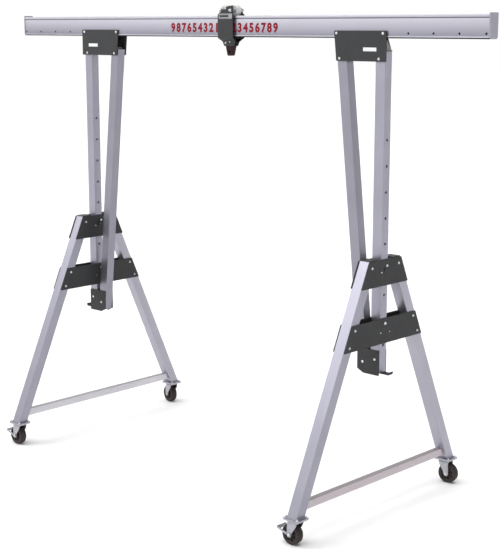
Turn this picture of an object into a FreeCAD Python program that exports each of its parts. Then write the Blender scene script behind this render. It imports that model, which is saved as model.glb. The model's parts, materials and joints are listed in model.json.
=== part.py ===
import FreeCAD, Part
import math
import os

# Portable aluminium gantry crane, in millimetres.
# X runs along the beam, -Y is the front, +Z is up. The origin is on the floor, midway between the frames.
# Left and right frames mirror each other, so each is drawn at +X and mirrored for the left side.

Vec = FreeCAD.Vector
os.makedirs("parts", exist_ok=True)

# Beam: a hollow extrusion with shallow grooved sides
BEAM_LENGTH = 4000.0
BEAM_WIDTH = 73.0
BEAM_HEIGHT = 130.0
BEAM_TOP = 2923.0
BEAM_WALL = 6.0
BEAM_EDGE_R = 3.0
GROOVE_DEPTH = 2.5
TOP_LIP = 12.0
BOTTOM_LIP = 12.0
GROOVE_SLOPE = 4.0
QUIRK_WIDTH = 4.0
QUIRK_DEPTH = 1.2
BEAM_HOLE_R = 6.5
BEAM_HOLE_RISE = 28.0
BEAM_HOLE_FIRST = 17.0
BEAM_HOLE_PITCH = 168.5
BEAM_HOLE_COUNT = 7

# End caps, which stand proud of the beam to stop the trolley
CAP_THICK = 8.0
CAP_STOP = 8.0
CAP_BOTTOM_R = 15.0
CAP_TOP_R = 3.0

# Uprights: a straight post with its height holes, and a strut that leans in under the beam
POST_X = 1286.0
POST_WIDTH = 69.0
TUBE_DEPTH = 60.0
TUBE_WALL = 4.0
POST_HEAD_ROOM = 67.0
POST_BOTTOM = 868.0
HEIGHT_HOLE_R = 8.0
HEIGHT_HOLE_PITCH = 149.2
HOLES_BELOW_PIN = 3
HOLES_ABOVE_PIN = 5
STRUT_WIDTH = 70.0
STRUT_HEAD_ROOM = 89.0
STRUT_TOP_OFFSET = 283.5
STRUT_SLOPE = 0.107

# Head bracket: two plates that clamp the beam, with packers out to the tubes
SLIDE_GAP = 0.3
PLATE_THICK = 6.0
HEAD_DROP = 129.0
HEAD_COVER = 42.0
HEAD_INWARD = 332.0
HEAD_OUTWARD = 47.0
HEAD_BACK_OUTWARD = 20.0
HEAD_CORNER_R = 5.0
NOTCH_DEPTH = 25.0
PACKER_MARGIN = 5.0
PAD_INWARD = 8.0
PAD_SLOPE = 0.55

# Foot bracket: two plates that join the strut to the post, and a base plate with an upturned end
FOOT_RISE = 132.0
FOOT_DROP = 18.0
FOOT_SETBACK = 2.0
FOOT_INSET = 8.0
FOOT_CHAMFER_X = 45.0
FOOT_CHAMFER_Z = 22.0
BASE_THICK = 6.0
BASE_DEPTH = 40.0
BASE_REACH = 58.0
BASE_UPTURN = 12.0

# A-frame: two leaning legs, two pairs of plates and a tie bar
POST_SIDE_GAP = 1.5
LEG_DEPTH = 65.0
LEG_SLOPE = 0.442
CASTER_Y = 716.0
LEG_TOP = 1541.0
LEG_CAP_THICK = 5.0
UPPER_PLATE_HEIGHT = 154.0
UPPER_PLATE_EDGE = 5.0
LOWER_PLATE_BOTTOM = 1043.0
LOWER_PLATE_HEIGHT = 149.0
LOWER_PLATE_EDGE = 1.0
TIE_BOTTOM = 196.0
TIE_HEIGHT = 44.0
TIE_WIDTH = 40.0
TIE_WALL = 3.0
GUIDE_GAP = 0.5
GUIDE_DEPTH = 26.0
GUIDE_HEIGHT = 62.0
PIN_DROP = 61.0
PIN_R = 7.6
PIN_HOLE_GAP = 0.1
PIN_TIP_GAP = 0.5
PIN_COLLAR_R = 13.0
PIN_COLLAR_LENGTH = 9.0
PIN_END_R = 10.0
PIN_HANDLE_R = 5.0
PIN_HANDLE_LENGTH = 64.0
PIN_HANDLE_RISE = 9.0

# Casters
CASTER_PLATE_X = 115.0
CASTER_PLATE_Y = 100.0
CASTER_PLATE_THICK = 6.0
PLATE_CORNER_R = 10.0
FOOT_PLATE_THICK = 6.0
CROWN_CLEAR = 10.7
RACEWAY_R = 32.0
RACEWAY_THICK = 6.0
SWIVEL_GAP = 0.3
CROWN_THICK = 9.0
WHEEL_R = 62.5
WHEEL_WIDTH = 48.0
WHEEL_EDGE_R = 6.0
RIM_R = 45.0
WEB_THICK = 30.0
HUB_R = 17.0
HUB_GAP = 0.4
AXLE_R = 6.0
AXLE_GAP = 0.06
WHEEL_SIDE_GAP = 4.0
FORK_THICK = 4.0
FORK_TOP_REACH = 36.0
FORK_EYE_R = 16.0
CASTER_TRAIL = 22.0
NUT_R = 9.0
NUT_LENGTH = 8.0
PEDAL_THICK = 3.0
PEDAL_WHEEL_GAP = 7.0
PEDAL_TREAD = 24.0
PEDAL_EYE_R = 14.0
PEDAL_ARM = 13.0
PEDAL_RISE_DEG = 16.0

# Which way each caster trails, in degrees from +X
CASTER_TURN = {
    "left_front": 180.0,
    "right_front": 180.0,
    "left_back": 170.0,
    "right_back": 5.0,
}

# Trolley on the beam's top
TROLLEY_X = 80.0
CHEEK_WIDTH = 130.0
CHEEK_GAP = 10.5
CHEEK_SHOULDER_RISE = 7.0
CHEEK_SHOULDER = 48.0
CHEEK_MID_RISE = 37.0
CHEEK_EAR_X = 9.0
CHEEK_EAR_RISE = 55.0
CHEEK_EAR_SLANT = 8.0
CHEEK_BEND_START = 5.0
CHEEK_BEND_DROP = 24.0
CHEEK_DROP = 55.0
CHEEK_BOTTOM_WIDTH = 82.0
BLOCK_WIDTH = 66.0
BLOCK_DEPTH = 30.0
BLOCK_CLEAR = 15.0
BLOCK_DROP = 115.0
BLOCK_BOTTOM_WIDTH = 34.0
BLOCK_CORNER_R = 10.0
EYE_R = 8.5
EYE_RISE = 24.0
ROLLER_R = 32.5
ROLLER_WIDTH = 34.0
ROLLER_EDGE_R = 6.0
ROLLER_SPREAD = 45.0
ROLLER_HUB_R = 13.0
ROLLER_AXLE_R = 8.0

# Worked out from the sizes above
BEAM_BOTTOM = BEAM_TOP - BEAM_HEIGHT
BEAM_HOLE_Z = BEAM_BOTTOM + BEAM_HOLE_RISE
HALF_BEAM = BEAM_WIDTH / 2
HALF_TUBE = TUBE_DEPTH / 2
HALF_POST = POST_WIDTH / 2
HALF_LEG = HALF_POST + POST_SIDE_GAP
POST_TOP = BEAM_BOTTOM - POST_HEAD_ROOM
STRUT_TOP = BEAM_BOTTOM - STRUT_HEAD_ROOM
STRUT_TOP_X = POST_X - STRUT_TOP_OFFSET
HEAD_PLATE_Y = HALF_BEAM + SLIDE_GAP
HEAD_TOP = BEAM_BOTTOM + HEAD_COVER
HEAD_BOTTOM = BEAM_BOTTOM - HEAD_DROP
HEAD_OUTER_X = POST_X + HEAD_OUTWARD
HEAD_BACK_X = POST_X + HEAD_BACK_OUTWARD
FOOT_TOP = POST_BOTTOM + FOOT_RISE
FOOT_BOTTOM = POST_BOTTOM - FOOT_DROP
UPPER_PLATE_BOTTOM = LEG_TOP - UPPER_PLATE_HEIGHT
LOWER_PLATE_TOP = LOWER_PLATE_BOTTOM + LOWER_PLATE_HEIGHT
PIN_Z = LEG_TOP - PIN_DROP
FORK_INSIDE = WHEEL_WIDTH + 2 * WHEEL_SIDE_GAP
FORK_TOP = 2 * WHEEL_R + CROWN_CLEAR + CROWN_THICK
RACEWAY_BOTTOM = FORK_TOP + SWIVEL_GAP
CASTER_PLATE_BOTTOM = RACEWAY_BOTTOM + RACEWAY_THICK
CASTER_HEIGHT = CASTER_PLATE_BOTTOM + CASTER_PLATE_THICK
LEG_BOTTOM = CASTER_HEIGHT + FOOT_PLATE_THICK
LEG_HORIZONTAL = LEG_DEPTH * math.hypot(1, LEG_SLOPE)
CHEEK_Y = HALF_BEAM + CHEEK_GAP
CHEEK_STRAIGHT_BOTTOM = BEAM_BOTTOM - CHEEK_BEND_START
CHEEK_BOTTOM = BEAM_BOTTOM - CHEEK_DROP
BLOCK_BOTTOM = BEAM_BOTTOM - BLOCK_DROP
ROLLER_Z = BEAM_TOP + SLIDE_GAP + ROLLER_R


def save(shape, node):
    shape.exportStep("parts/" + node + ".step")


def group(solids):
    """Several separate solids of one node."""
    return Part.makeCompound(solids)


def box(x0, x1, y0, y1, z0, z1):
    return Part.makeBox(x1 - x0, y1 - y0, z1 - z0, Vec(x0, y0, z0))


def prism_xz(points, y0, y1):
    """An outline in the XZ plane, given as (x, z), from y0 to y1."""
    corners = [Vec(x, y0, z) for x, z in points]
    return Part.Face(Part.makePolygon(corners + corners[:1])).extrude(Vec(0, y1 - y0, 0))


def prism_yz(points, x0, x1):
    """An outline in the YZ plane, given as (y, z), from x0 to x1."""
    corners = [Vec(x0, y, z) for y, z in points]
    return Part.Face(Part.makePolygon(corners + corners[:1])).extrude(Vec(x1 - x0, 0, 0))


def rod_x(radius, x0, x1, y, z):
    return Part.makeCylinder(radius, x1 - x0, Vec(x0, y, z), Vec(1, 0, 0))


def rod_y(radius, y0, y1, x, z):
    return Part.makeCylinder(radius, y1 - y0, Vec(x, y0, z), Vec(0, 1, 0))


def disc_z(radius, z0, z1):
    return Part.makeCylinder(radius, z1 - z0, Vec(0, 0, z0))


def edges_along(shape, direction, wanted=lambda centre: True):
    """The straight edges that run along one direction, at the places wanted."""
    found = []
    for edge in shape.Edges:
        if isinstance(edge.Curve, Part.Line):
            if abs(edge.Curve.Direction.dot(direction)) > 0.9999 and wanted(edge.CenterOfMass):
                found.append(edge)
    return found


def turned_about_z(shape, degrees, x, y):
    """A copy turned about the Z axis and then moved to (x, y)."""
    copy = shape.copy()
    copy.rotate(Vec(0, 0, 0), Vec(0, 0, 1), degrees)
    copy.translate(Vec(x, y, 0))
    return copy


def mirrored_y(shape):
    return shape.mirror(Vec(0, 0, 0), Vec(0, 1, 0))


def save_sides(shape, name):
    """Save a shape drawn at +X as the right-hand node, and its mirror as the left-hand one."""
    save(shape, "right_" + name)
    save(shape.mirror(Vec(0, 0, 0), Vec(1, 0, 0)), "left_" + name)


# ---------------------------------------------------------------- beam


def beam_hole_places():
    """Distances of the adjusting holes from the middle of the beam, at each end."""
    first = BEAM_LENGTH / 2 - BEAM_HOLE_FIRST
    return [first - i * BEAM_HOLE_PITCH for i in range(BEAM_HOLE_COUNT)]


def beam():
    half = BEAM_LENGTH / 2
    bar = box(-half, half, -HALF_BEAM, HALF_BEAM, BEAM_BOTTOM, BEAM_TOP)
    bar = bar.makeFillet(BEAM_EDGE_R, edges_along(bar, Vec(1, 0, 0)))
    hollow = box(
        -half - 1, half + 1, -HALF_BEAM + BEAM_WALL, HALF_BEAM - BEAM_WALL,
        BEAM_BOTTOM + BEAM_WALL, BEAM_TOP - BEAM_WALL,
    )
    groove = prism_yz(
        [
            (HALF_BEAM + 1, BEAM_TOP - TOP_LIP),
            (HALF_BEAM, BEAM_TOP - TOP_LIP),
            (HALF_BEAM - GROOVE_DEPTH, BEAM_TOP - TOP_LIP - GROOVE_SLOPE),
            (HALF_BEAM - GROOVE_DEPTH, BEAM_BOTTOM + BOTTOM_LIP + GROOVE_SLOPE),
            (HALF_BEAM, BEAM_BOTTOM + BOTTOM_LIP),
            (HALF_BEAM + 1, BEAM_BOTTOM + BOTTOM_LIP),
        ],
        -half - 1, half + 1,
    )
    web = HALF_BEAM - GROOVE_DEPTH
    quirk_top = BEAM_TOP - TOP_LIP - GROOVE_SLOPE
    quirk = box(-half - 1, half + 1, web - QUIRK_DEPTH, web + 1, quirk_top - QUIRK_WIDTH, quirk_top)
    holes = []
    for place in beam_hole_places():
        for x in (-place, place):
            holes.append(rod_y(BEAM_HOLE_R, -HALF_BEAM - 1, HALF_BEAM + 1, x, BEAM_HOLE_Z))
    return bar.cut([hollow, groove, mirrored_y(groove), quirk, mirrored_y(quirk)] + holes)


def end_cap():
    x0 = BEAM_LENGTH / 2
    cap = box(x0, x0 + CAP_THICK, -HALF_BEAM, HALF_BEAM, BEAM_BOTTOM, BEAM_TOP + CAP_STOP)
    low = edges_along(cap, Vec(1, 0, 0), lambda c: c.z < BEAM_TOP)
    cap = cap.makeFillet(CAP_BOTTOM_R, low)
    high = edges_along(cap, Vec(1, 0, 0), lambda c: c.z > BEAM_TOP)
    return cap.makeFillet(CAP_TOP_R, high)


# ------------------------------------------------------------- uprights


def height_hole_places():
    """Heights of the post's holes, one of which the pin is in."""
    return [PIN_Z + i * HEIGHT_HOLE_PITCH for i in range(-HOLES_BELOW_PIN, HOLES_ABOVE_PIN + 1)]


def post():
    x0, x1 = POST_X - HALF_POST, POST_X + HALF_POST
    outside = box(x0, x1, -HALF_TUBE, HALF_TUBE, POST_BOTTOM, POST_TOP)
    outside = outside.makeFillet(TUBE_WALL / 2, edges_along(outside, Vec(0, 0, 1)))
    inside = box(
        x0 + TUBE_WALL, x1 - TUBE_WALL, -HALF_TUBE + TUBE_WALL, HALF_TUBE - TUBE_WALL,
        POST_BOTTOM - 1, POST_TOP + 1,
    )
    holes = [rod_x(HEIGHT_HOLE_R, x0 - 1, x1 + 1, 0, z) for z in height_hole_places()]
    return outside.cut([inside] + holes)


def strut_x(z):
    """Middle of the strut at a height."""
    return STRUT_TOP_X + STRUT_SLOPE * (STRUT_TOP - z)


def strut():
    def outline(inset, low, high):
        half = STRUT_WIDTH / 2 - inset * math.hypot(1, STRUT_SLOPE)
        return [
            (strut_x(low) - half, low), (strut_x(low) + half, low),
            (strut_x(high) + half, high), (strut_x(high) - half, high),
        ]

    outside = prism_xz(outline(0, POST_BOTTOM, STRUT_TOP), -HALF_TUBE, HALF_TUBE)
    lean = Vec(-STRUT_SLOPE, 0, 1).normalize()
    outside = outside.makeFillet(TUBE_WALL / 2, edges_along(outside, lean))
    inside = prism_xz(
        outline(TUBE_WALL, POST_BOTTOM - 1, STRUT_TOP + 1),
        -HALF_TUBE + TUBE_WALL, HALF_TUBE - TUBE_WALL,
    )
    return outside.cut(inside)


def head_plates():
    """Front and back plates of the head bracket; the back one is cut away beside and over the post."""
    inner = POST_X - HEAD_INWARD
    lean_in = STRUT_SLOPE * (HEAD_TOP - HEAD_BOTTOM)

    outline = [
        (inner, HEAD_TOP), (HEAD_OUTER_X, HEAD_TOP),
        (HEAD_OUTER_X, HEAD_BOTTOM), (inner + lean_in, HEAD_BOTTOM),
    ]
    front = prism_xz(outline, -HEAD_PLATE_Y - PLATE_THICK, -HEAD_PLATE_Y)
    front = front.makeFillet(HEAD_CORNER_R, edges_along(front, Vec(0, 1, 0)))
    below = HEAD_BOTTOM - 1
    outside = HEAD_OUTER_X + 1
    relief = prism_xz(
        [
            (outside, below), (HEAD_BACK_X, below), (HEAD_BACK_X, POST_TOP),
            (HEAD_BACK_X - NOTCH_DEPTH, BEAM_BOTTOM), (outside, BEAM_BOTTOM),
        ],
        HEAD_PLATE_Y - 1, HEAD_PLATE_Y + PLATE_THICK + 1,
    )
    return group([front, mirrored_y(front).cut(relief)])


def head_packing():
    """Packers between the tubes' faces and the head plates, and the pad from the post's top to the beam."""
    packer = box(
        STRUT_TOP_X, HEAD_BACK_X, HALF_TUBE, HEAD_PLATE_Y,
        HEAD_BOTTOM + PACKER_MARGIN, POST_TOP - PACKER_MARGIN,
    )
    under_beam = BEAM_BOTTOM - SLIDE_GAP
    pad_top = POST_X - PAD_INWARD
    outline = [
        (POST_X - HALF_POST, POST_TOP), (pad_top + PAD_SLOPE * (under_beam - POST_TOP), POST_TOP),
        (pad_top, under_beam), (POST_X - HALF_POST, under_beam),
    ]
    return group([packer, mirrored_y(packer), prism_xz(outline, -HALF_TUBE, HALF_TUBE)])


def foot_plates():
    inner = strut_x(FOOT_TOP) - STRUT_WIDTH / 2 + FOOT_INSET
    outer = POST_X + HALF_POST - FOOT_SETBACK
    outline = [
        (inner, FOOT_TOP), (outer, FOOT_TOP), (outer, FOOT_BOTTOM),
        (inner + FOOT_CHAMFER_X, FOOT_BOTTOM), (inner, FOOT_BOTTOM + FOOT_CHAMFER_Z),
    ]
    front = prism_xz(outline, -HALF_TUBE - PLATE_THICK, -HALF_TUBE)
    front = front.makeFillet(HEAD_CORNER_R, edges_along(front, Vec(0, 1, 0)))
    return group([front, mirrored_y(front)])


def post_base():
    """A base plate under both tubes, with its outer end turned up."""
    half = BASE_DEPTH / 2
    start = strut_x(POST_BOTTOM) - STRUT_WIDTH / 2 + FOOT_CHAMFER_X
    end = POST_X + HALF_POST + BASE_REACH
    flat = box(start, end, -half, half, POST_BOTTOM - BASE_THICK, POST_BOTTOM)
    upturn = prism_xz(
        [
            (end - BASE_THICK * 2, POST_BOTTOM), (end, POST_BOTTOM - BASE_THICK),
            (end + BASE_THICK, POST_BOTTOM + BASE_UPTURN), (end, POST_BOTTOM + BASE_UPTURN),
        ],
        -half, half,
    )
    return flat.fuse(upturn).removeSplitter()


# ------------------------------------------------------------- A-frames


def leg_outer_y(z):
    """How far the legs' outer faces stand from the middle at a height."""
    return CASTER_Y + LEG_HORIZONTAL / 2 + LEG_SLOPE * (LEG_BOTTOM - z)


def leg_span(z, inset=0.0):
    """The inner and outer faces of the back leg at a height, moved into the wall by an inset."""
    step = inset * math.hypot(1, LEG_SLOPE)
    return leg_outer_y(z) - LEG_HORIZONTAL + step, leg_outer_y(z) - step


def back_leg():
    """A leaning tube with the foot plate that is welded to its lower end."""
    low_in, low_out = leg_span(LEG_BOTTOM)
    top_in, top_out = leg_span(LEG_TOP)
    outside = prism_yz(
        [(low_in, LEG_BOTTOM), (low_out, LEG_BOTTOM), (top_out, LEG_TOP), (top_in, LEG_TOP)],
        POST_X - HALF_LEG, POST_X + HALF_LEG,
    )
    lean = Vec(0, -LEG_SLOPE, 1).normalize()
    outside = outside.makeFillet(TUBE_WALL / 2, edges_along(outside, lean))
    below, above = LEG_BOTTOM - 1, LEG_TOP + 1
    low_in, low_out = leg_span(below, TUBE_WALL)
    top_in, top_out = leg_span(above, TUBE_WALL)
    inside = prism_yz(
        [(low_in, below), (low_out, below), (top_out, above), (top_in, above)],
        POST_X - HALF_LEG + TUBE_WALL, POST_X + HALF_LEG - TUBE_WALL,
    )
    pad = box(
        POST_X - CASTER_PLATE_X / 2, POST_X + CASTER_PLATE_X / 2,
        CASTER_Y - CASTER_PLATE_Y / 2, CASTER_Y + CASTER_PLATE_Y / 2,
        CASTER_HEIGHT, LEG_BOTTOM,
    )
    pad = pad.makeFillet(PLATE_CORNER_R, edges_along(pad, Vec(0, 0, 1)))
    return outside.cut(inside).fuse(pad).removeSplitter()


def leg_caps():
    top_in, top_out = leg_span(LEG_TOP)
    cap = box(
        POST_X - HALF_LEG, POST_X + HALF_LEG, top_in, top_out,
        LEG_TOP, LEG_TOP + LEG_CAP_THICK,
    )
    return group([cap, mirrored_y(cap)])


def frame_plates(bottom, top, edge, holes=()):
    """A plate on each X face of the legs, as wide as the legs are apart there."""
    low, high = leg_outer_y(bottom) + edge, leg_outer_y(top) + edge
    outline = [(-low, bottom), (low, bottom), (high, top), (-high, top)]
    plates = []
    for side in (-1, 1):
        face = POST_X + side * HALF_LEG
        x0, x1 = sorted((face, face + side * PLATE_THICK))
        plate = prism_yz(outline, x0, x1)
        plate = plate.makeFillet(HEAD_CORNER_R, edges_along(plate, Vec(1, 0, 0)))
        for radius, y, z in holes:
            plate = plate.cut(rod_x(radius, x0 - 1, x1 + 1, y, z))
        plates.append(plate)
    return group(plates)


def upper_plates():
    hole = (PIN_R + PIN_HOLE_GAP, 0.0, PIN_Z)
    return frame_plates(UPPER_PLATE_BOTTOM, LEG_TOP, UPPER_PLATE_EDGE, [hole])


def lower_plates():
    return frame_plates(LOWER_PLATE_BOTTOM, LOWER_PLATE_TOP, LOWER_PLATE_EDGE)


def post_guides():
    """Nylon blocks between the plates, one on each side of the post at both pairs of plates."""
    blocks = []
    for middle in ((UPPER_PLATE_BOTTOM + LEG_TOP) / 2, (LOWER_PLATE_BOTTOM + LOWER_PLATE_TOP) / 2):
        y0 = HALF_TUBE + GUIDE_GAP
        block = box(
            POST_X - HALF_LEG, POST_X + HALF_LEG, y0, y0 + GUIDE_DEPTH,
            middle - GUIDE_HEIGHT / 2, middle + GUIDE_HEIGHT / 2,
        )
        blocks += [block, mirrored_y(block)]
    return group(blocks)


def tie_bar():
    half = TIE_WIDTH / 2

    def outline(inset):
        low, high = TIE_BOTTOM + inset, TIE_BOTTOM + TIE_HEIGHT - inset
        low_y, high_y = leg_span(low)[0], leg_span(high)[0]
        return [(-low_y, low), (low_y, low), (high_y, high), (-high_y, high)]

    outside = prism_yz(outline(0), POST_X - half, POST_X + half)
    inside = prism_yz(outline(TIE_WALL), POST_X - half + TIE_WALL, POST_X + half - TIE_WALL)
    return outside.cut(inside)


def height_pin():
    """The two ends of the pin that holds the height: a handled end on the inner plate, a plain one outside."""
    inner_face, outer_face = POST_X - HALF_LEG, POST_X + HALF_LEG
    tip_in = POST_X - HALF_POST - PIN_TIP_GAP
    tip_out = POST_X + HALF_POST + PIN_TIP_GAP
    collar_in = inner_face - PLATE_THICK
    collar_out = outer_face + PLATE_THICK
    handle_x = collar_in - PIN_COLLAR_LENGTH / 2
    handled = rod_x(PIN_R, collar_in - 1, tip_in, 0, PIN_Z)
    handled = handled.fuse([
        rod_x(PIN_COLLAR_R, collar_in - PIN_COLLAR_LENGTH, collar_in, 0, PIN_Z),
        rod_y(
            PIN_HANDLE_R, -PIN_COLLAR_R, PIN_HANDLE_LENGTH - PIN_COLLAR_R,
            handle_x - PIN_COLLAR_LENGTH / 2, PIN_Z + PIN_HANDLE_RISE,
        ),
    ]).removeSplitter()
    plain = rod_x(PIN_R, tip_out, collar_out + 1, 0, PIN_Z)
    plain = plain.fuse(
        rod_x(PIN_END_R, collar_out, collar_out + PIN_COLLAR_LENGTH / 2, 0, PIN_Z)
    ).removeSplitter()
    return group([handled, plain])


def caster_plates():
    plate = box(
        POST_X - CASTER_PLATE_X / 2, POST_X + CASTER_PLATE_X / 2,
        CASTER_Y - CASTER_PLATE_Y / 2, CASTER_Y + CASTER_PLATE_Y / 2,
        CASTER_PLATE_BOTTOM, CASTER_HEIGHT,
    )
    plate = plate.makeFillet(PLATE_CORNER_R, edges_along(plate, Vec(0, 0, 1)))
    raceway = disc_z(RACEWAY_R, RACEWAY_BOTTOM, CASTER_PLATE_BOTTOM)
    raceway.translate(Vec(POST_X, CASTER_Y, 0))
    plate = plate.fuse(raceway).removeSplitter()
    return group([plate, mirrored_y(plate)])


# -------------------------------------------------------------- casters
# Drawn with the swivel axis on Z, trailing along +X, and turned into place.


def fork():
    top = FORK_TOP
    inside = FORK_INSIDE / 2
    outside = inside + FORK_THICK
    crown = box(-FORK_TOP_REACH, FORK_TOP_REACH, -outside, outside, top - CROWN_THICK, top)
    crown = crown.makeFillet(PLATE_CORNER_R, edges_along(crown, Vec(0, 0, 1)))
    pieces = []
    for side in (-1, 1):
        y0, y1 = sorted((side * inside, side * outside))
        blade = prism_xz(
            [
                (-FORK_TOP_REACH * 0.85, top - CROWN_THICK / 2),
                (CASTER_TRAIL - FORK_EYE_R, WHEEL_R),
                (CASTER_TRAIL + FORK_EYE_R, WHEEL_R),
                (FORK_TOP_REACH * 0.95, top - CROWN_THICK / 2),
            ],
            y0, y1,
        )
        pieces += [blade, rod_y(FORK_EYE_R, y0, y1, CASTER_TRAIL, WHEEL_R)]
    nut_end = outside + NUT_LENGTH
    pieces.append(rod_y(AXLE_R, -outside, outside, CASTER_TRAIL, WHEEL_R))
    pieces.append(rod_y(NUT_R, outside - 1, nut_end, CASTER_TRAIL, WHEEL_R))
    pieces.append(rod_y(NUT_R, -nut_end, -outside + 1, CASTER_TRAIL, WHEEL_R))
    return crown.fuse(pieces).removeSplitter()


def wheel():
    """A turned section: tyre, web and hub in one."""
    half_tyre, half_web = WHEEL_WIDTH / 2, WEB_THICK / 2
    half_hub = FORK_INSIDE / 2 - HUB_GAP
    bore = AXLE_R + AXLE_GAP
    outline = [
        (bore, -half_hub), (HUB_R, -half_hub), (HUB_R, -half_web), (RIM_R, -half_web),
        (RIM_R, -half_tyre), (WHEEL_R, -half_tyre), (WHEEL_R, half_tyre), (RIM_R, half_tyre),
        (RIM_R, half_web), (HUB_R, half_web), (HUB_R, half_hub), (bore, half_hub),
    ]
    corners = [Vec(r, y, 0) for r, y in outline]
    face = Part.Face(Part.makePolygon(corners + corners[:1]))
    turned = face.revolve(Vec(0, 0, 0), Vec(0, 1, 0), 360)
    rims = [e for e in turned.Edges if abs(e.BoundBox.XLength - 2 * WHEEL_R) < 0.01 and e.Closed]
    turned = turned.makeFillet(WHEEL_EDGE_R, rims)
    turned.translate(Vec(CASTER_TRAIL, 0, WHEEL_R))
    return turned


def brake_pedal():
    """A lever on the axle's nuts: an arm on each side of the fork, joined by a tread behind the wheel."""
    inner = FORK_INSIDE / 2 + FORK_THICK + HUB_GAP
    outer = inner + PEDAL_THICK
    start = WHEEL_R + PEDAL_WHEEL_GAP
    end = start + PEDAL_TREAD
    half_arm = PEDAL_ARM / 2
    pieces = []
    for side in (-1, 1):
        y0, y1 = sorted((side * inner, side * outer))
        pieces.append(box(0, end, y0, y1, -half_arm, half_arm))
        pieces.append(rod_y(PEDAL_EYE_R, y0, y1, 0, 0))
    pieces.append(box(start, end, -outer, outer, half_arm - PEDAL_THICK, half_arm))
    lever = pieces[0].fuse(pieces[1:])
    lever = lever.cut(rod_y(NUT_R + AXLE_GAP, -outer - 1, outer + 1, 0, 0)).removeSplitter()
    lever.rotate(Vec(0, 0, 0), Vec(0, 1, 0), -PEDAL_RISE_DEG)
    lever.translate(Vec(CASTER_TRAIL, 0, WHEEL_R))
    return lever


def save_casters():
    for place, turn in CASTER_TURN.items():
        x = POST_X if place.startswith("right") else -POST_X
        y = -CASTER_Y if place.endswith("front") else CASTER_Y
        save(turned_about_z(fork(), turn, x, y), place + "_fork")
        save(turned_about_z(wheel(), turn, x, y), place + "_wheel")
        if place.endswith("front"):
            save(turned_about_z(brake_pedal(), turn, x, y), place + "_brake_pedal")


# -------------------------------------------------------------- trolley


def front_cheek():
    """A side plate that passes the beam, bends in under it and holds the load block."""
    half, low_half = CHEEK_WIDTH / 2, CHEEK_BOTTOM_WIDTH / 2
    outer, inner = CHEEK_Y + PLATE_THICK, CHEEK_Y
    block = BLOCK_DEPTH / 2
    bend = CHEEK_STRAIGHT_BOTTOM - CHEEK_BEND_DROP
    ear = BEAM_TOP + CHEEK_EAR_RISE
    top = ear + CHEEK_EAR_SLANT + 1
    profile = prism_yz(
        [
            (-outer, top), (-outer, CHEEK_STRAIGHT_BOTTOM), (-block - PLATE_THICK, bend),
            (-block - PLATE_THICK, CHEEK_BOTTOM), (-block, CHEEK_BOTTOM), (-block, bend),
            (-inner, CHEEK_STRAIGHT_BOTTOM), (-inner, top),
        ],
        TROLLEY_X - half, TROLLEY_X + half,
    )
    outline = prism_xz(
        [
            (TROLLEY_X - half, BEAM_TOP + CHEEK_SHOULDER_RISE),
            (TROLLEY_X - half + CHEEK_SHOULDER, BEAM_TOP + CHEEK_MID_RISE),
            (TROLLEY_X + CHEEK_EAR_X, BEAM_TOP + CHEEK_MID_RISE),
            (TROLLEY_X + CHEEK_EAR_X, ear),
            (TROLLEY_X + half, ear + CHEEK_EAR_SLANT),
            (TROLLEY_X + half, CHEEK_STRAIGHT_BOTTOM),
            (TROLLEY_X + low_half, CHEEK_BOTTOM),
            (TROLLEY_X - low_half, CHEEK_BOTTOM),
            (TROLLEY_X - half, CHEEK_STRAIGHT_BOTTOM),
        ],
        -outer - 1, 0,
    )
    return profile.common(outline)


def back_cheek():
    """The same plate, turned half round the middle of the trolley."""
    cheek = front_cheek()
    cheek.rotate(Vec(TROLLEY_X, 0, 0), Vec(0, 0, 1), 180)
    return cheek


def trolley_axles():
    return group([
        rod_y(ROLLER_AXLE_R, -CHEEK_Y, CHEEK_Y, TROLLEY_X + side * ROLLER_SPREAD, ROLLER_Z)
        for side in (-1, 1)
    ])


def roller(side):
    x = TROLLEY_X + side * ROLLER_SPREAD
    tread = rod_y(ROLLER_R, -ROLLER_WIDTH / 2, ROLLER_WIDTH / 2, x, ROLLER_Z)
    tread = tread.makeFillet(ROLLER_EDGE_R, [e for e in tread.Edges if e.Closed and e.Length > 99])
    hub = rod_y(ROLLER_HUB_R, -CHEEK_Y + HUB_GAP, CHEEK_Y - HUB_GAP, x, ROLLER_Z)
    bore = rod_y(ROLLER_AXLE_R + AXLE_GAP, -CHEEK_Y, CHEEK_Y, x, ROLLER_Z)
    return tread.fuse(hub).cut(bore).removeSplitter()


def load_block():
    """The block that hangs between the cheeks, with an eye for a hoist."""
    half, low_half, depth = BLOCK_WIDTH / 2, BLOCK_BOTTOM_WIDTH / 2, BLOCK_DEPTH / 2
    top = BEAM_BOTTOM - BLOCK_CLEAR
    outline = [
        (TROLLEY_X - half, top), (TROLLEY_X + half, top),
        (TROLLEY_X + half, CHEEK_BOTTOM), (TROLLEY_X + low_half, BLOCK_BOTTOM),
        (TROLLEY_X - low_half, BLOCK_BOTTOM), (TROLLEY_X - half, CHEEK_BOTTOM),
    ]
    block = prism_xz(outline, -depth, depth)
    low = edges_along(block, Vec(0, 1, 0), lambda c: c.z < BLOCK_BOTTOM + 1)
    block = block.makeFillet(BLOCK_CORNER_R, low)
    eye = rod_y(EYE_R, -depth - 1, depth + 1, TROLLEY_X, BLOCK_BOTTOM + EYE_RISE)
    return block.cut(eye)


save(beam(), "beam")
save_sides(end_cap(), "end_cap")

save_sides(post(), "post")
save_sides(strut(), "strut")
save_sides(head_plates(), "head_plates")
save_sides(head_packing(), "head_packing")
save_sides(foot_plates(), "foot_plates")
save_sides(post_base(), "post_base")

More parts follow.
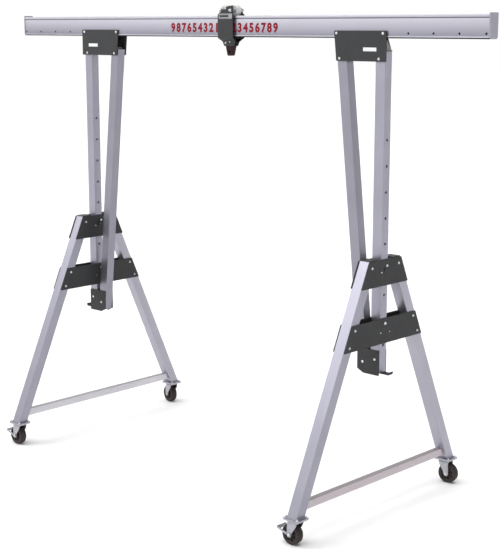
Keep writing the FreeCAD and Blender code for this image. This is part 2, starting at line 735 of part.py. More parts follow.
save_sides(back_leg(), "back_leg")
save_sides(mirrored_y(back_leg()), "front_leg")
save_sides(leg_caps(), "leg_caps")
save_sides(upper_plates(), "upper_plates")
save_sides(lower_plates(), "lower_plates")
save_sides(post_guides(), "post_guides")
save_sides(tie_bar(), "tie_bar")
save_sides(height_pin(), "height_pin")
save_sides(caster_plates(), "caster_plates")
save_casters()

save(front_cheek(), "trolley_front_cheek")
save(back_cheek(), "trolley_back_cheek")
save(trolley_axles(), "trolley_axles")
save(roller(-1), "trolley_left_roller")
save(roller(1), "trolley_right_roller")
save(load_block(), "trolley_load_block")
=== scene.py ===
import json
import math

import bmesh
import bpy
from mathutils import Matrix, Vector


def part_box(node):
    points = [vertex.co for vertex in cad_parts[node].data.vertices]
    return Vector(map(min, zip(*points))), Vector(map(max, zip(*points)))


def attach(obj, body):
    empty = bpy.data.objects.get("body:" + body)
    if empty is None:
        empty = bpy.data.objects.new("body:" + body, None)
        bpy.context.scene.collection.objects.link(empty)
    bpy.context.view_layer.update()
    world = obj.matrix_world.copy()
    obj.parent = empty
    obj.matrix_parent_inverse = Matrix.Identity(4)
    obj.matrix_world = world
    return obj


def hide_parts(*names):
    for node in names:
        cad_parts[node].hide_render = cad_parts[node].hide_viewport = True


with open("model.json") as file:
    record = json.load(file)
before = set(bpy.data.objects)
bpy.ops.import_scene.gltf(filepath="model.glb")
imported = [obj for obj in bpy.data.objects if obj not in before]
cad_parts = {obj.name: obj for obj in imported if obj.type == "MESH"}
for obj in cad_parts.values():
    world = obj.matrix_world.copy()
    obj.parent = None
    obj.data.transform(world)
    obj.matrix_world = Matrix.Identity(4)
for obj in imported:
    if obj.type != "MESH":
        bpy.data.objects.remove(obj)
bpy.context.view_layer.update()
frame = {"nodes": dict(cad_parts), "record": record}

MM = 0.001
SIDES = {"left": -1, "right": 1}
CASTERS = ("left_front", "left_back", "right_front", "right_back")
SLOT_OF = {s["node"]: s["material_slot"] for s in frame["record"]["subparts"]}
JOINTS = {j["name"]: j for j in frame["record"]["behaviour"]["joints"]}
BEAM_LOW, BEAM_HIGH = (corner[2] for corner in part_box("beam"))

# Sizes that several pieces share, in millimetres, and the leg's and strut's lean as a slope.
FOOT_PLATE = 6.0
CHEEK_THICK = 6.0
CROSS_BOLTS = ((-26, 19), (10, 28))
AXLE_END = 8.0
EAR_R = 10.0
ROLLER_HALF = 17.0
ROLLER_EDGE = 6.0
FORK_HALF = 32.0
FORK_THICK = 4.0
LEG_DEPTH = 65.0
LEG_LEAN = 0.442
STRUT_LEAN = 0.107

# Distances from the beam's middle, in metres, over which the painted shade of its hollow gives way to the
# metal's own colour.
HOLLOW_SHADE_WEB = (0.0306, 0.0332)
HOLLOW_SHADE_FLANGE = (0.0592, 0.0605)

# The sky's strength above its white band.
SKY_ABOVE = 0.15


# ------------------------------------------------------------ node helpers


def linear(hex_colour):
    """A colour such as "4A4B4B" in sRGB, as linear RGBA."""
    parts = [int(hex_colour[i : i + 2], 16) / 255 for i in (0, 2, 4)]
    return [c / 12.92 if c <= 0.04045 else ((c + 0.055) / 1.055) ** 2.4 for c in parts] + [1.0]


def add(tree, kind, inputs=None, **settings):
    """One node with its settings. An input is a value, or a socket that is linked to it."""
    node = tree.nodes.new(kind)
    for name, value in settings.items():
        setattr(node, name, value)
    for name, value in (inputs or {}).items():
        if isinstance(value, bpy.types.NodeSocket):
            tree.links.new(value, node.inputs[name])
        else:
            node.inputs[name].default_value = value
    return node


def new_material(name):
    """A material with its nodes cleared, and its Object coordinates."""
    material = bpy.data.materials.new(name)
    material.use_nodes = True
    material.node_tree.nodes.clear()
    place = add(material.node_tree, "ShaderNodeTexCoord").outputs["Object"]
    return material, material.node_tree, place


def surface(tree, inputs):
    """The one shader of a material, joined to its output."""
    shader = add(tree, "ShaderNodeBsdfPrincipled", inputs)
    add(tree, "ShaderNodeOutputMaterial", {"Surface": shader.outputs["BSDF"]})


def finish(tree, tone, colours, wear, roughness, height, relief, metallic=0.0, specular=0.5):
    """Two colours by tone, two roughnesses by wear, and relief (strength, metres) from height."""
    colour = add(tree, "ShaderNodeMix", {
        "Factor": tone, 6: linear(colours[0]), 7: linear(colours[1]),
    }, data_type="RGBA").outputs[2]
    rough = add(tree, "ShaderNodeMapRange", {"Value": wear, "To Min": roughness[0], "To Max": roughness[1]})
    bump = add(tree, "ShaderNodeBump", {"Height": height, "Strength": relief[0], "Distance": relief[1]})
    surface(tree, {
        "Base Color": colour,
        "Metallic": metallic,
        "Specular IOR Level": specular,
        "Roughness": rough.outputs["Result"],
        "Normal": bump.outputs["Normal"],
    })


# --------------------------------------------------------------- materials


def extruded_anodised_aluminium(name, along, colours=("94939F", "ACABB6")):
    """Clear anodised aluminium, extruded: satin, with faint die lines along its length."""
    material, tree, place = new_material(name)
    turn = Vector((0, 0, 1)).rotation_difference(Vector(along).normalized()).to_euler()
    # Die lines are under 1 mm wide on the real tube; 3 mm by 400 mm shows at this size.
    drawn = add(
        tree, "ShaderNodeMapping", {"Vector": place, "Rotation": turn, "Scale": (0.003, 0.003, 0.4)},
        vector_type="TEXTURE",
    ).outputs["Vector"]
    lines = add(tree, "ShaderNodeTexNoise", {"Vector": drawn, "Scale": 1.0, "Detail": 3.0}).outputs["Fac"]
    cloud = add(tree, "ShaderNodeTexNoise", {"Vector": place, "Scale": 5.0, "Detail": 2.0}).outputs["Fac"]
    tone = add(tree, "ShaderNodeMath", {0: lines, 1: cloud}, operation="MULTIPLY").outputs[0]
    finish(tree, tone, colours, lines, (0.36, 0.46), lines, (0.06, 0.0004), metallic=0.9)
    return material


def beam_aluminium(name):
    """The same extrusion as a 4 m beam, with light and shade painted in bands by height: lighter towards the
    top, a painted shadow line under the top lip and along the foot, and a painted highlight line just above
    the foot.
    """
    material, tree, place = new_material(name)
    drawn = add(
        tree, "ShaderNodeMapping", {"Vector": place, "Scale": (0.6, 0.003, 0.003)}, vector_type="TEXTURE",
    ).outputs["Vector"]
    lines = add(tree, "ShaderNodeTexNoise", {"Vector": drawn, "Scale": 1.0, "Detail": 3.0}).outputs["Fac"]
    apart = add(tree, "ShaderNodeSeparateXYZ", {"Vector": place}).outputs
    height = apart["Z"]
    # The hollow, seen only through the adjusting holes, gets painted shade: its colour is darkened to a tenth.
    aside = add(tree, "ShaderNodeMath", {0: apart["Y"]}, operation="ABSOLUTE").outputs[0]
    web_hollow_shade = add(tree, "ShaderNodeMapRange", {
        "Value": aside, "From Min": HOLLOW_SHADE_WEB[0], "From Max": HOLLOW_SHADE_WEB[1], "To Min": 0.1,
    }).outputs["Result"]
    above = add(
        tree, "ShaderNodeMath", {0: height, 1: (BEAM_LOW + BEAM_HIGH) / 2}, operation="SUBTRACT",
    ).outputs[0]
    away = add(tree, "ShaderNodeMath", {0: above}, operation="ABSOLUTE").outputs[0]
    flange_hollow_shade = add(tree, "ShaderNodeMapRange", {
        "Value": away, "From Min": HOLLOW_SHADE_FLANGE[0], "From Max": HOLLOW_SHADE_FLANGE[1], "To Min": 0.1,
    }).outputs["Result"]
    painted_hollow_shade = add(tree, "ShaderNodeMath", {0: web_hollow_shade, 1: flange_hollow_shade}, operation="MAXIMUM").outputs[0]
    rise = add(tree, "ShaderNodeMapRange", {
        "Value": height, "From Min": BEAM_LOW, "From Max": BEAM_HIGH,
    }).outputs["Result"]
    painted_light_bands = add(tree, "ShaderNodeValToRGB", {"Fac": rise})
    stops = painted_light_bands.color_ramp.elements
    # Heights over the beam's foot in millimetres, with the colour there. These colours are painted light and
    # shade: a painted shadow line along the foot, a painted highlight line above it, a web lighter towards the
    # top, and a painted shadow line under the top lip.
    for number, (mm, colour) in enumerate((
        (0, "2A2A2E"), (6.6, "2A2A2E"), (7.2, "C2C1C9"), (10.5, "C2C1C9"), (14, "8A8995"),
        (104, "BCBBC5"), (109, "BCBBC5"), (109.8, "6C6B74"), (114.4, "6C6B74"), (115, "A9A8B2"),
        (130, "C6C5CD"),
    )):
        stop = stops[number] if number < 2 else stops.new(1.0)
        stop.position = mm * MM / (BEAM_HIGH - BEAM_LOW)
        stop.color = linear(colour)
    streak = add(tree, "ShaderNodeMapRange", {"Value": lines, "To Min": 0.9, "To Max": 1.06}).outputs["Result"]
    # The die lines' tone, times the painted shade of the hollow.
    shade = add(tree, "ShaderNodeMath", {0: streak, 1: painted_hollow_shade}, operation="MULTIPLY").outputs[0]
    colour = add(tree, "ShaderNodeVectorMath", {0: painted_light_bands.outputs["Color"], "Scale": shade}, operation="SCALE")
    rough = add(tree, "ShaderNodeMapRange", {"Value": lines, "To Min": 0.36, "To Max": 0.46})
    bump = add(tree, "ShaderNodeBump", {"Height": lines, "Strength": 0.06, "Distance": 0.0004})
    surface(tree, {
        "Base Color": colour.outputs[0],
        "Metallic": 0.9,
        "Roughness": rough.outputs["Result"],
        "Normal": bump.outputs["Normal"],
    })
    return material


def welded_aluminium(name):
    """TIG weld in aluminium: a brighter, rougher bead than the tube beside it."""
    material, tree, place = new_material(name)
    grain = add(tree, "ShaderNodeTexNoise", {"Vector": place, "Scale": 300.0, "Detail": 3.0}).outputs["Fac"]
    finish(tree, grain, ("A5A4AC", "C6C5CB"), grain, (0.45, 0.6), grain, (0.2, 0.0003), metallic=0.9)
    return material


def powder_coated_steel(name, dark, light):
    """Graphite powder coat on steel plate: even and matt, with a fine orange peel of about 1.5 mm."""
    material, tree, place = new_material(name)
    peel = add(tree, "ShaderNodeTexNoise", {"Vector": place, "Scale": 650.0, "Detail": 2.0}).outputs["Fac"]
    cloud = add(tree, "ShaderNodeTexNoise", {"Vector": place, "Scale": 14.0, "Detail": 4.0}).outputs["Fac"]
    finish(tree, cloud, (dark, light), peel, (0.5, 0.62), peel, (0.12, 0.0003), specular=0.25)
    return material


def zinc_plated_steel(name, dark, light, rough_low=0.34, rough_high=0.46):
    """Bright zinc plate on steel: grey white, with a faint spangle of about 8 mm."""
    material, tree, place = new_material(name)
    spangle = add(tree, "ShaderNodeTexVoronoi", {"Vector": place, "Scale": 120.0}).outputs["Color"]
    value = add(tree, "ShaderNodeSeparateColor", {"Color": spangle}).outputs[0]
    grain = add(tree, "ShaderNodeTexNoise", {"Vector": place, "Scale": 900.0}).outputs["Fac"]
    finish(tree, value, (dark, light), value, (rough_low, rough_high), grain, (0.08, 0.0002), metallic=1.0)
    return material


def grained_material(name, dark, light, rough_low, rough_high, grain_mm, specular=0.5):
    """Moulded plastic or rubber, paint, print or foil: one colour, with a fine grain of the size given."""
    material, tree, place = new_material(name)
    grain = add(tree, "ShaderNodeTexNoise", {"Vector": place, "Scale": 1 / (grain_mm * MM)}).outputs["Fac"]
    cloud = add(tree, "ShaderNodeTexNoise", {"Vector": place, "Scale": 30.0, "Detail": 3.0}).outputs["Fac"]
    rough = (rough_low, rough_high)
    finish(tree, cloud, (dark, light), grain, rough, grain, (0.15, 0.0002), specular=specular)
    return material


# One anodised finish, in lit and shaded copies: the tie bars' and the head packing's lighter colours are
# painted light, and the back legs' and the struts' darker colours are painted shade.
ALUMINIUM = {
    "beam": beam_aluminium("anodised_beam"),
    "post": extruded_anodised_aluminium("anodised_post", (0, 0, 1)),
    "left_tie_bar": extruded_anodised_aluminium("anodised_left_tie_bar", (0, 1, 0), ("BFBDC3", "D2D0D5")),
    "right_tie_bar": extruded_anodised_aluminium("anodised_right_tie_bar", (0, 1, 0), ("B5ACB1", "C8BFC4")),
    "front_leg": extruded_anodised_aluminium("anodised_front_leg", (0, LEG_LEAN, 1)),
    "back_leg": extruded_anodised_aluminium("anodised_back_leg", (0, -LEG_LEAN, 1), ("9E9DA8", "B6B5C0")),
    "left_strut": extruded_anodised_aluminium(
        "anodised_left_strut", (STRUT_LEAN, 0, 1), ("888792", "A09FA9"),
    ),
    "right_strut": extruded_anodised_aluminium(
        "anodised_right_strut", (-STRUT_LEAN, 0, 1), ("888792", "A09FA9"),
    ),
    # Painted light: the packing sits in shade, and its colours are made lighter to stand in for light.
    "head_packing": extruded_anodised_aluminium("anodised_packing", (0, 1, 0), ("D2D2D6", "E2E2E6")),
    "end_cap": extruded_anodised_aluminium("anodised_end_cap", (0, 0, 1)),
}
GRAPHITE = powder_coated_steel("powder_coated_graphite", "2F2F31", "373839")
ZINC = zinc_plated_steel("zinc_plated_steel", "A09FA6", "B4B3BA")
BRIGHT_ZINC = zinc_plated_steel("zinc_plated_fasteners", "D6D8DA", "E8E9EA", 0.3, 0.4)
TYRE = grained_material("moulded_rubber_tyre", "2B2222", "382E2D", 0.55, 0.7, 1.2, 0.35)
CORE = grained_material("moulded_polypropylene_core", "382F2F", "443A39", 0.4, 0.5, 0.9)
NYLON = grained_material("turned_white_nylon", "CDCDCA", "D8D8D5", 0.38, 0.5, 1.0)
BLACK = grained_material("moulded_black_plastic", "1E1E20", "262628", 0.4, 0.52, 0.8)
IRON = grained_material("painted_cast_iron", "2A181B", "352023", 0.6, 0.75, 2.5, 0.15)
RED = grained_material("screen_printed_red_enamel", "7A0A1A", "881426", 0.5, 0.6, 1.5, 0.15)
BLANK = grained_material("blank_grey_label_foil", "909193", "9C9D9F", 0.35, 0.45, 2.0)
STRIP = grained_material("blank_white_label_foil", "D9DADB", "E6E7E8", 0.35, 0.45, 2.0)
WELD = welded_aluminium("tig_welded_aluminium")
PIN = zinc_plated_steel("black_zinc_plated_pin", "3C3D3F", "4A4B4D")
FINISH = {
    "graphite_paint": GRAPHITE,
    "zinc_steel": ZINC,
    "caster_tyre": TYRE,
    "white_nylon": NYLON,
    "black_plastic": BLACK,
    "dark_iron": IRON,
}


def finish_frame_nodes():
    """Each frame node's own material, by its name and slot."""
    for node, piece in frame["nodes"].items():
        name = next((k for k in ALUMINIUM if node.endswith(k)), None)
        slot = SLOT_OF[node]
        material = ALUMINIUM[name] if slot == "anodised_aluminium" else FINISH[slot]
        if node.endswith("height_pin"):
            material = PIN
        piece.data.materials.clear()
        piece.data.materials.append(material)


# ---------------------------------------------------------------- geometry


def span(node):
    """Lowest and highest corner of a frame node, in millimetres."""
    low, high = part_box(node)
    return Vector(low) / MM, Vector(high) / MM


BEAM_TOP_MM = span("beam")[1].z
BEAM_WEB_MM = span("beam")[1].y - 2.5


def made(name, bm, material, body, replaces=(), bevel=0.0, smooth=35):
    """A finished piece from a bmesh drawn in millimetres."""
    bmesh.ops.scale(bm, vec=(MM, MM, MM), verts=bm.verts)
    bmesh.ops.remove_doubles(bm, verts=bm.verts, dist=1e-6)
    bmesh.ops.recalc_face_normals(bm, faces=bm.faces)
    mesh = bpy.data.meshes.new(name)
    bm.to_mesh(mesh)
    bm.free()
    return placed(name, mesh, material, body, replaces, bevel, smooth)


def placed(name, mesh, material, body, replaces=(), bevel=0.0, smooth=35):
    """A piece from a mesh in metres, riding its body. The bevel is in millimetres."""
    piece = bpy.data.objects.new(name, mesh)
    bpy.context.collection.objects.link(piece)
    mesh.materials.clear()
    mesh.materials.append(material)
    mesh.polygons.foreach_set("use_smooth", [True] * len(mesh.polygons))
    mesh.set_sharp_from_angle(angle=math.radians(smooth))
    if bevel:
        rounding = piece.modifiers.new("rounding", "BEVEL")
        rounding.width = bevel * MM
        rounding.segments = 2
        rounding.limit_method = "ANGLE"
        rounding.angle_limit = math.radians(40)
    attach(piece, body)
    if replaces:
        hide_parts(*replaces)
    return piece


def prism(bm, outline, low, high, axis="y"):
    """A closed prism. The outline is (x, z) for axis y, (y, z) for axis x and (x, y) for axis z."""
    place = {
        "x": lambda a, b, c: (c, a, b),
        "y": lambda a, b, c: (a, c, b),
        "z": lambda a, b, c: (a, b, c),
    }[axis]
    rings = [[bm.verts.new(place(a, b, c)) for a, b in outline] for c in (low, high)]
    bm.faces.new(rings[0][::-1])
    bm.faces.new(rings[1])
    count = len(outline)
    for i in range(count):
        k = (i + 1) % count
        bm.faces.new((rings[0][i], rings[0][k], rings[1][k], rings[1][i]))


def turned(bm, profile, centre, axis, sides=48):
    """A closed profile of (radius, distance along the axis), turned about the axis."""
    axis = Vector(axis).normalized()
    across = axis.orthogonal().normalized()
    up = axis.cross(across)
    rings = []
    for s in range(sides):
        angle = 2 * math.pi * s / sides
        out = across * math.cos(angle) + up * math.sin(angle)
        rings.append([bm.verts.new(Vector(centre) + out * r + axis * h) for r, h in profile])
    count = len(profile)
    for s in range(sides):
        near, far = rings[s], rings[(s + 1) % sides]
        for i in range(count):
            k = (i + 1) % count
            bm.faces.new((near[i], near[k], far[k], far[i]))


def swept(bm, rows):
    """A skin through rows of points, each row as long as the last."""
    lines = [[bm.verts.new(p) for p in row] for row in rows]
    for a, b in zip(lines, lines[1:]):
        for i in range(len(a) - 1):
            bm.faces.new((a[i], a[i + 1], b[i + 1], b[i]))


# --------------------------------------------------- fasteners and repeats


def node_group(name, inputs):
    """An empty Geometry Nodes tree with its named inputs. It gives the tree and its input node."""
    tree = bpy.data.node_groups.new(name, "GeometryNodeTree")
    tree.interface.new_socket("Geometry", in_out="OUTPUT", socket_type="NodeSocketGeometry")
    tree.interface.new_socket("Geometry", in_out="INPUT", socket_type="NodeSocketGeometry")
    for label, kind in inputs.items():
        tree.interface.new_socket(label, in_out="INPUT", socket_type="NodeSocket" + kind)
    return tree, add(tree, "NodeGroupInput").outputs


def end_group(tree, instances, material):
    """Every tree ends the same way: real geometry with its material."""
    real = add(tree, "GeometryNodeRealizeInstances", {"Geometry": instances}).outputs[0]
    done = add(tree, "GeometryNodeSetMaterial", {"Geometry": real, "Material": material}).outputs[0]
    add(tree, "NodeGroupOutput", {"Geometry": done})


def grown(name, seeds, tree, values, body):
    """The plain mesh that a tree makes from a mesh of seeds."""
    holder = bpy.data.objects.new(name + "_seeds", seeds)
    bpy.context.collection.objects.link(holder)
    modifier = holder.modifiers.new("tree", "NODES")
    modifier.node_group = tree
    for item in tree.interface.items_tree:
        if item.in_out == "INPUT" and item.name in values:
            modifier[item.identifier] = values[item.name]
    ready = holder.evaluated_get(bpy.context.evaluated_depsgraph_get())
    mesh = bpy.data.meshes.new_from_object(ready)
    mesh.name = name
    bpy.data.objects.remove(holder)
    return placed(name, mesh, values["Material"], body)


def drawn_up(tree, sides, radius, steps):
    """A closed solid drawn up from a flat polygon, in steps of (height, scale of the new top)."""
    flat = {"Vertices": sides, "Radius": radius}
    base = add(tree, "GeometryNodeMeshCircle", flat, fill_type="NGON").outputs[0]
    body, top = base, None
    for height, scale in steps:
        pulled = add(tree, "GeometryNodeExtrudeMesh", {
            "Mesh": body, "Offset Scale": height, "Individual": False,
        })
        if top is not None:
            tree.links.new(top, pulled.inputs["Selection"])
        body, top = pulled.outputs["Mesh"], pulled.outputs["Top"]
        if scale != 1:
            body = add(
                tree, "GeometryNodeScaleElements", {"Geometry": body, "Selection": top, "Scale": scale}
            ).outputs[0]
    under = add(tree, "GeometryNodeFlipFaces", {"Mesh": base}).outputs[0]
    both = add(tree, "GeometryNodeJoinGeometry")
    tree.links.new(body, both.inputs[0])
    tree.links.new(under, both.inputs[0])
    return add(tree, "GeometryNodeMergeByDistance", {"Geometry": both.outputs[0], "Distance": 1e-6}).outputs[0]


def fastener_tree():
    """A washer, a chamfered hexagon and the end of a thread on every seed, square to its facing."""
    tree, given = node_group("hexagon_fasteners", {
        "Hexagon Radius": "Float", "Hexagon Height": "Float", "Washer Radius": "Float",
        "Washer Thickness": "Float", "Thread Radius": "Float", "Thread Length": "Float",
        "Turn Seed": "Int", "Material": "Material",
    })
    height, thickness = given["Hexagon Height"], given["Washer Thickness"]
    sides = add(tree, "ShaderNodeMath", {0: height, 1: 0.72}, operation="MULTIPLY").outputs[0]
    chamfer = add(tree, "ShaderNodeMath", {0: height, 1: 0.28}, operation="MULTIPLY").outputs[0]
    head_top = add(tree, "ShaderNodeMath", {0: thickness, 1: height}, operation="ADD").outputs[0]
    parts = [drawn_up(tree, 24, given["Washer Radius"], [(thickness, 0.96)])]
    for part, rise in (
        (drawn_up(tree, 6, given["Hexagon Radius"], [(sides, 1), (chamfer, 0.84)]), thickness),
        (drawn_up(tree, 12, given["Thread Radius"], [(given["Thread Length"], 0.9)]), head_top),
    ):
        lift = add(tree, "ShaderNodeCombineXYZ", {"Z": rise}).outputs[0]
        parts.append(add(tree, "GeometryNodeTransform", {"Geometry": part, "Translation": lift}).outputs[0])
    whole = add(tree, "GeometryNodeJoinGeometry")
    for part in parts:
        tree.links.new(part, whole.inputs[0])
    facing = add(
        tree, "GeometryNodeInputNamedAttribute", {"Name": "facing"}, data_type="FLOAT_VECTOR",
    ).outputs[0]
    square = add(tree, "FunctionNodeAlignRotationToVector", {"Vector": facing}, axis="Z").outputs[0]
    turn = add(tree, "FunctionNodeRandomValue", {
        2: 0.0, 3: 2 * math.pi, "Seed": given["Turn Seed"],
    }, data_type="FLOAT")
    spin = add(tree, "ShaderNodeCombineXYZ", {"Z": turn.outputs[1]}).outputs[0]
    spun = add(
        tree, "FunctionNodeRotateRotation", {"Rotation": square, "Rotate By": spin}, rotation_space="LOCAL"
    ).outputs[0]
    size = add(tree, "GeometryNodeInputNamedAttribute", {"Name": "size"}, data_type="FLOAT").outputs[0]
    standing = add(tree, "GeometryNodeInstanceOnPoints", {
        "Points": given["Geometry"], "Instance": whole.outputs[0], "Rotation": spun, "Scale": size,
    }).outputs[0]
    end_group(tree, standing, given["Material"])
    return tree


def seed_mesh(name, places):
    """Seeds for the fasteners: (x, y, z) in millimetres, facing, and size."""
    mesh = bpy.data.meshes.new(name)
    mesh.from_pydata([[c * MM for c in at] for at, _, _ in places], [], [])
    facing = mesh.attributes.new("facing", "FLOAT_VECTOR", "POINT")
    facing.data.foreach_set("vector", [c for _, way, _ in places for c in way])
    size = mesh.attributes.new("size", "FLOAT", "POINT")
    size.data.foreach_set("value", [size for _, _, size in places])
    return mesh


FASTENERS = fastener_tree()
BOLT = {
    "Hexagon Radius": 7.4 * MM, "Hexagon Height": 5.0 * MM, "Washer Radius": 10.0 * MM,
    "Washer Thickness": 1.6 * MM, "Thread Radius": 4.8 * MM, "Thread Length": 0.35 * MM,
}
NUT = {
    "Hexagon Radius": 7.4 * MM, "Hexagon Height": 6.5 * MM, "Washer Radius": 10.0 * MM,
    "Washer Thickness": 1.6 * MM, "Thread Radius": 4.0 * MM, "Thread Length": 4.0 * MM,
}
AXLE_NUT = dict(NUT, **{
    "Washer Radius": 8.9 * MM, "Hexagon Radius": 7.6 * MM, "Hexagon Height": 4.5 * MM,
    "Thread Length": 1.2 * MM,
})


def fasteners(name, places, sizes, body, seed):
    """One piece of hexagon fasteners, set by the seeds in places."""
    values = dict(sizes, **{"Turn Seed": seed, "Material": BRIGHT_ZINC})
    return grown(name, seed_mesh(name, places), FASTENERS, values, body)


def through(at, axis, near, far, size=1.0):
    """A bolt's head at one face and its nut at the other, on a line along X or Y."""
    first, second = [list(at), list(at)], {"x": 0, "y": 1}[axis]
    first[0][second], first[1][second] = near, far
    way = [0, 0, 0]
    way[second] = 1 if near > far else -1
    back = [-c for c in way]
    return (first[0], way, size), (first[1], back, size)


def upright_fasteners(side):
    """Bolts through the head plates and the foot plates, along Y."""
    k = SIDES[side]
    low, high = span(f"{side}_head_plates")
    inner, outer = sorted((abs(low.x), abs(high.x)))
    pairs = []
    for x, z in (
        (inner + 18, high.z - 14), (outer - 24, high.z - 14),
        (inner + 42, low.z + 15), (outer - 50, low.z + 15),
    ):
        pairs.append(through((k * x, 0, z), "y", low.y, high.y, 0.8))
    low, high = span(f"{side}_foot_plates")
    inner, outer = sorted((abs(low.x), abs(high.x)))
    for x, z in ((inner + 41, low.z + 68), (outer - 30, low.z + 96)):
        pairs.append(through((k * x, 0, z), "y", low.y, high.y, 0.8))
    return pairs


def frame_fasteners(side):
    """Bolts through an A-frame's plates, along X: (y, drop below the plate's top, size)."""
    k = SIDES[side]
    pairs = []
    for name, spots in (
        ("upper_plates", ((-122, -39, 0.75), (123, -37, 0.75), (14, -38, 0.8), (-35, -73, 0.42))),
        ("lower_plates", (
            (-268, -30, 0.78), (276, -28, 0.75), (-316, -123, 0.75), (319, -124, 0.7), (6, -30, 0.9),
            (-34, -82, 0.42), (48, -86, 0.36),
        )),
    ):
        low, high = span(f"{side}_{name}")
        near, far = (high.x, low.x) if k > 0 else (low.x, high.x)
        for y, drop, size in spots:
            pairs.append(through((0, y, high.z + drop), "x", near, far, size))
    return pairs


def caster_fasteners(side):
    """Four bolts through each caster's plate, up into the foot plate of the leg."""
    heads, nuts = [], []
    low, high = span(f"{side}_caster_plates")
    foot_top = span(f"{side}_front_leg")[0].z + FOOT_PLATE
    plate_low = high.z - FOOT_PLATE
    for edge, inward in ((low.y, 1), (high.y, -1)):
        for x in (low.x + 11, high.x - 11):
            for step in (12, 88):
                y = edge + inward * step
                heads.append(((x, y, plate_low), (0, 0, -1), 0.7))
                nuts.append(((x, y, foot_top), (0, 0, 1), 0.8))
    return heads, nuts


def all_fasteners():
    """Every bolt head and nut on the uprights, the A-frames and the trolley."""
    for number, side in enumerate(SIDES):
        uprights = upright_fasteners(side)
        frames = frame_fasteners(side)
        heads, nuts = caster_fasteners(side)
        upright, a_frame = f"{side}_upright", f"{side}_a_frame"
        fasteners(f"{side}_upright_bolts", [p[0] for p in uprights], BOLT, upright, 10 + number)
        fasteners(f"{side}_upright_nuts", [p[1] for p in uprights], NUT, upright, 20 + number)
        fasteners(f"{side}_frame_bolts", [p[0] for p in frames] + heads, BOLT, a_frame, 30 + number)
        fasteners(f"{side}_frame_nuts", [p[1] for p in frames] + nuts, NUT, a_frame, 40 + number)
    low, high = span("trolley_front_cheek")
    back_face = span("trolley_back_cheek")[1].y
    middle = (low.x + high.x) / 2
    hang = CHEEK_THICK + span("trolley_load_block")[1].y
    places = [((middle + x, -hang, low.z + z), (0, -1, 0), 0.6) for x, z in CROSS_BOLTS]
    places += [((middle - x, hang, low.z + z), (0, 1, 0), 0.6) for x, z in CROSS_BOLTS]
    axles = span("trolley_axles")
    height = (axles[0].z + axles[1].z) / 2
    for x in (axles[0].x + AXLE_END, axles[1].x - AXLE_END):
        places.append(((x, low.y, height), (0, -1, 0), 1.0))
        places.append(((x, back_face, height), (0, 1, 0), 1.0))
    fasteners("trolley_bolts", places, NUT, "trolley", 50)


# ----------------------------------------------------------------- trolley


def axle_ears():
    """The round ears that carry the axle over each cheek's low shoulder."""
    bm = bmesh.new()
    axles = span("trolley_axles")
    height = (axles[0].z + axles[1].z) / 2
    for node, x, side in (
        ("trolley_front_cheek", axles[0].x + AXLE_END, -1), ("trolley_back_cheek", axles[1].x - AXLE_END, 1),
    ):
        low, high = span(node)
        outer = low.y if side < 0 else high.y
        y0, y1 = sorted((outer, outer - side * CHEEK_THICK))
        outline = [(x - EAR_R, height - 26), (x + EAR_R, height - 22)]
        outline += [
            (x + EAR_R * math.cos(a), height + EAR_R * math.sin(a))
            for a in [math.pi * i / 12 for i in range(13)]
        ]
        prism(bm, outline, y0 + 0.3, y1 - 0.3)
    made("trolley_axle_ears", bm, ZINC, "trolley", bevel=0.8)


def cheek_label():
    """A blank foil label between two pressed lines on the front cheek."""
    low, high = span("trolley_front_cheek")
    face = low.y
    left, right, bottom = low.x + 10, high.x - 5, BEAM_TOP_MM - 19
    top = bottom + 33
    bm = bmesh.new()
    prism(bm, [(left, bottom), (right, bottom), (right, top), (left + 2, top)], face - 0.5, face)
    made("trolley_blank_label", bm, BLANK, "trolley", bevel=0.2)
    bm = bmesh.new()
    for x0, x1, z0, z1 in (
        (left + 4, right - 4, bottom + 2.5, bottom + 4.5),
        (left + 4, right - 4, top - 4.5, top - 2.5),
        (left + 8, right - 30, bottom + 10, top - 10),
    ):
        prism(bm, [(x0, z0), (x1, z0), (x1, z1), (x0, z1)], face - 0.8, face - 0.5)
    made("trolley_label_lines", bm, GRAPHITE, "trolley")


def buffers():
    """Black rubber buffers on the cheeks' leading edges."""
    bm = bmesh.new()
    for node, side in (("trolley_front_cheek", -1), ("trolley_back_cheek", 1)):
        low, high = span(node)
        y = side * (abs(low.y if side < 0 else high.y) - CHEEK_THICK / 2)
        for x, way in ((high.x, 1), (low.x, -1)):
            if way == side:
                continue
            turned(bm, [
                (0.01, 0.0), (7.0, 0.0), (7.5, 1.0), (7.5, 3.5), (6.0, 5.5), (0.01, 6.5),
            ], (x, y, BEAM_TOP_MM - 84), (way, 0, 0), 24)
    made("trolley_buffers", bm, BLACK, "trolley")


def rollers():
    """Turned nylon rollers with a domed rim, on long steel bushes between the cheeks."""
    for name in ("trolley_left_roller", "trolley_right_roller"):
        low, high = span(name)
        centre = (low + high) / 2
        radius = (high.z - low.z) / 2
        end = (high.y - low.y) / 2
        half, edge = ROLLER_HALF, ROLLER_EDGE
        rim = [
            (radius - edge + edge * math.sin(a), half - edge + edge * math.cos(a))
            for a in [math.pi * i / 12 for i in range(7)]
        ]
        face = [
            (9.0, half - 2.0), (14.0, half - 2.0), (15.0, half - 3.0), (22.0, half - 3.0), (23.5, half - 0.3),
        ]
        groove = [(radius, 2.0), (radius - 0.8, 1.2), (radius - 0.8, 0.0)]
        upper = face + rim + groove
        bm = bmesh.new()
        turned(bm, upper + [(r, -h) for r, h in reversed(upper[:-1])], centre, (0, 1, 0), 64)
        made(name + "_tread", bm, NYLON, name, replaces=(name,))
        bm = bmesh.new()
        for way in (-1, 1):
            turned(bm, [
                (8.2, half - 5), (13.9, half - 5), (13.9, half + 1), (12.6, half + 2.5), (12.6, end - 1.0),
                (12.0, end), (8.2, end),
            ], centre, (0, way, 0), 32)
        made(name + "_bushes", bm, ZINC, name)


# -------------------------------------------------------------------- beam


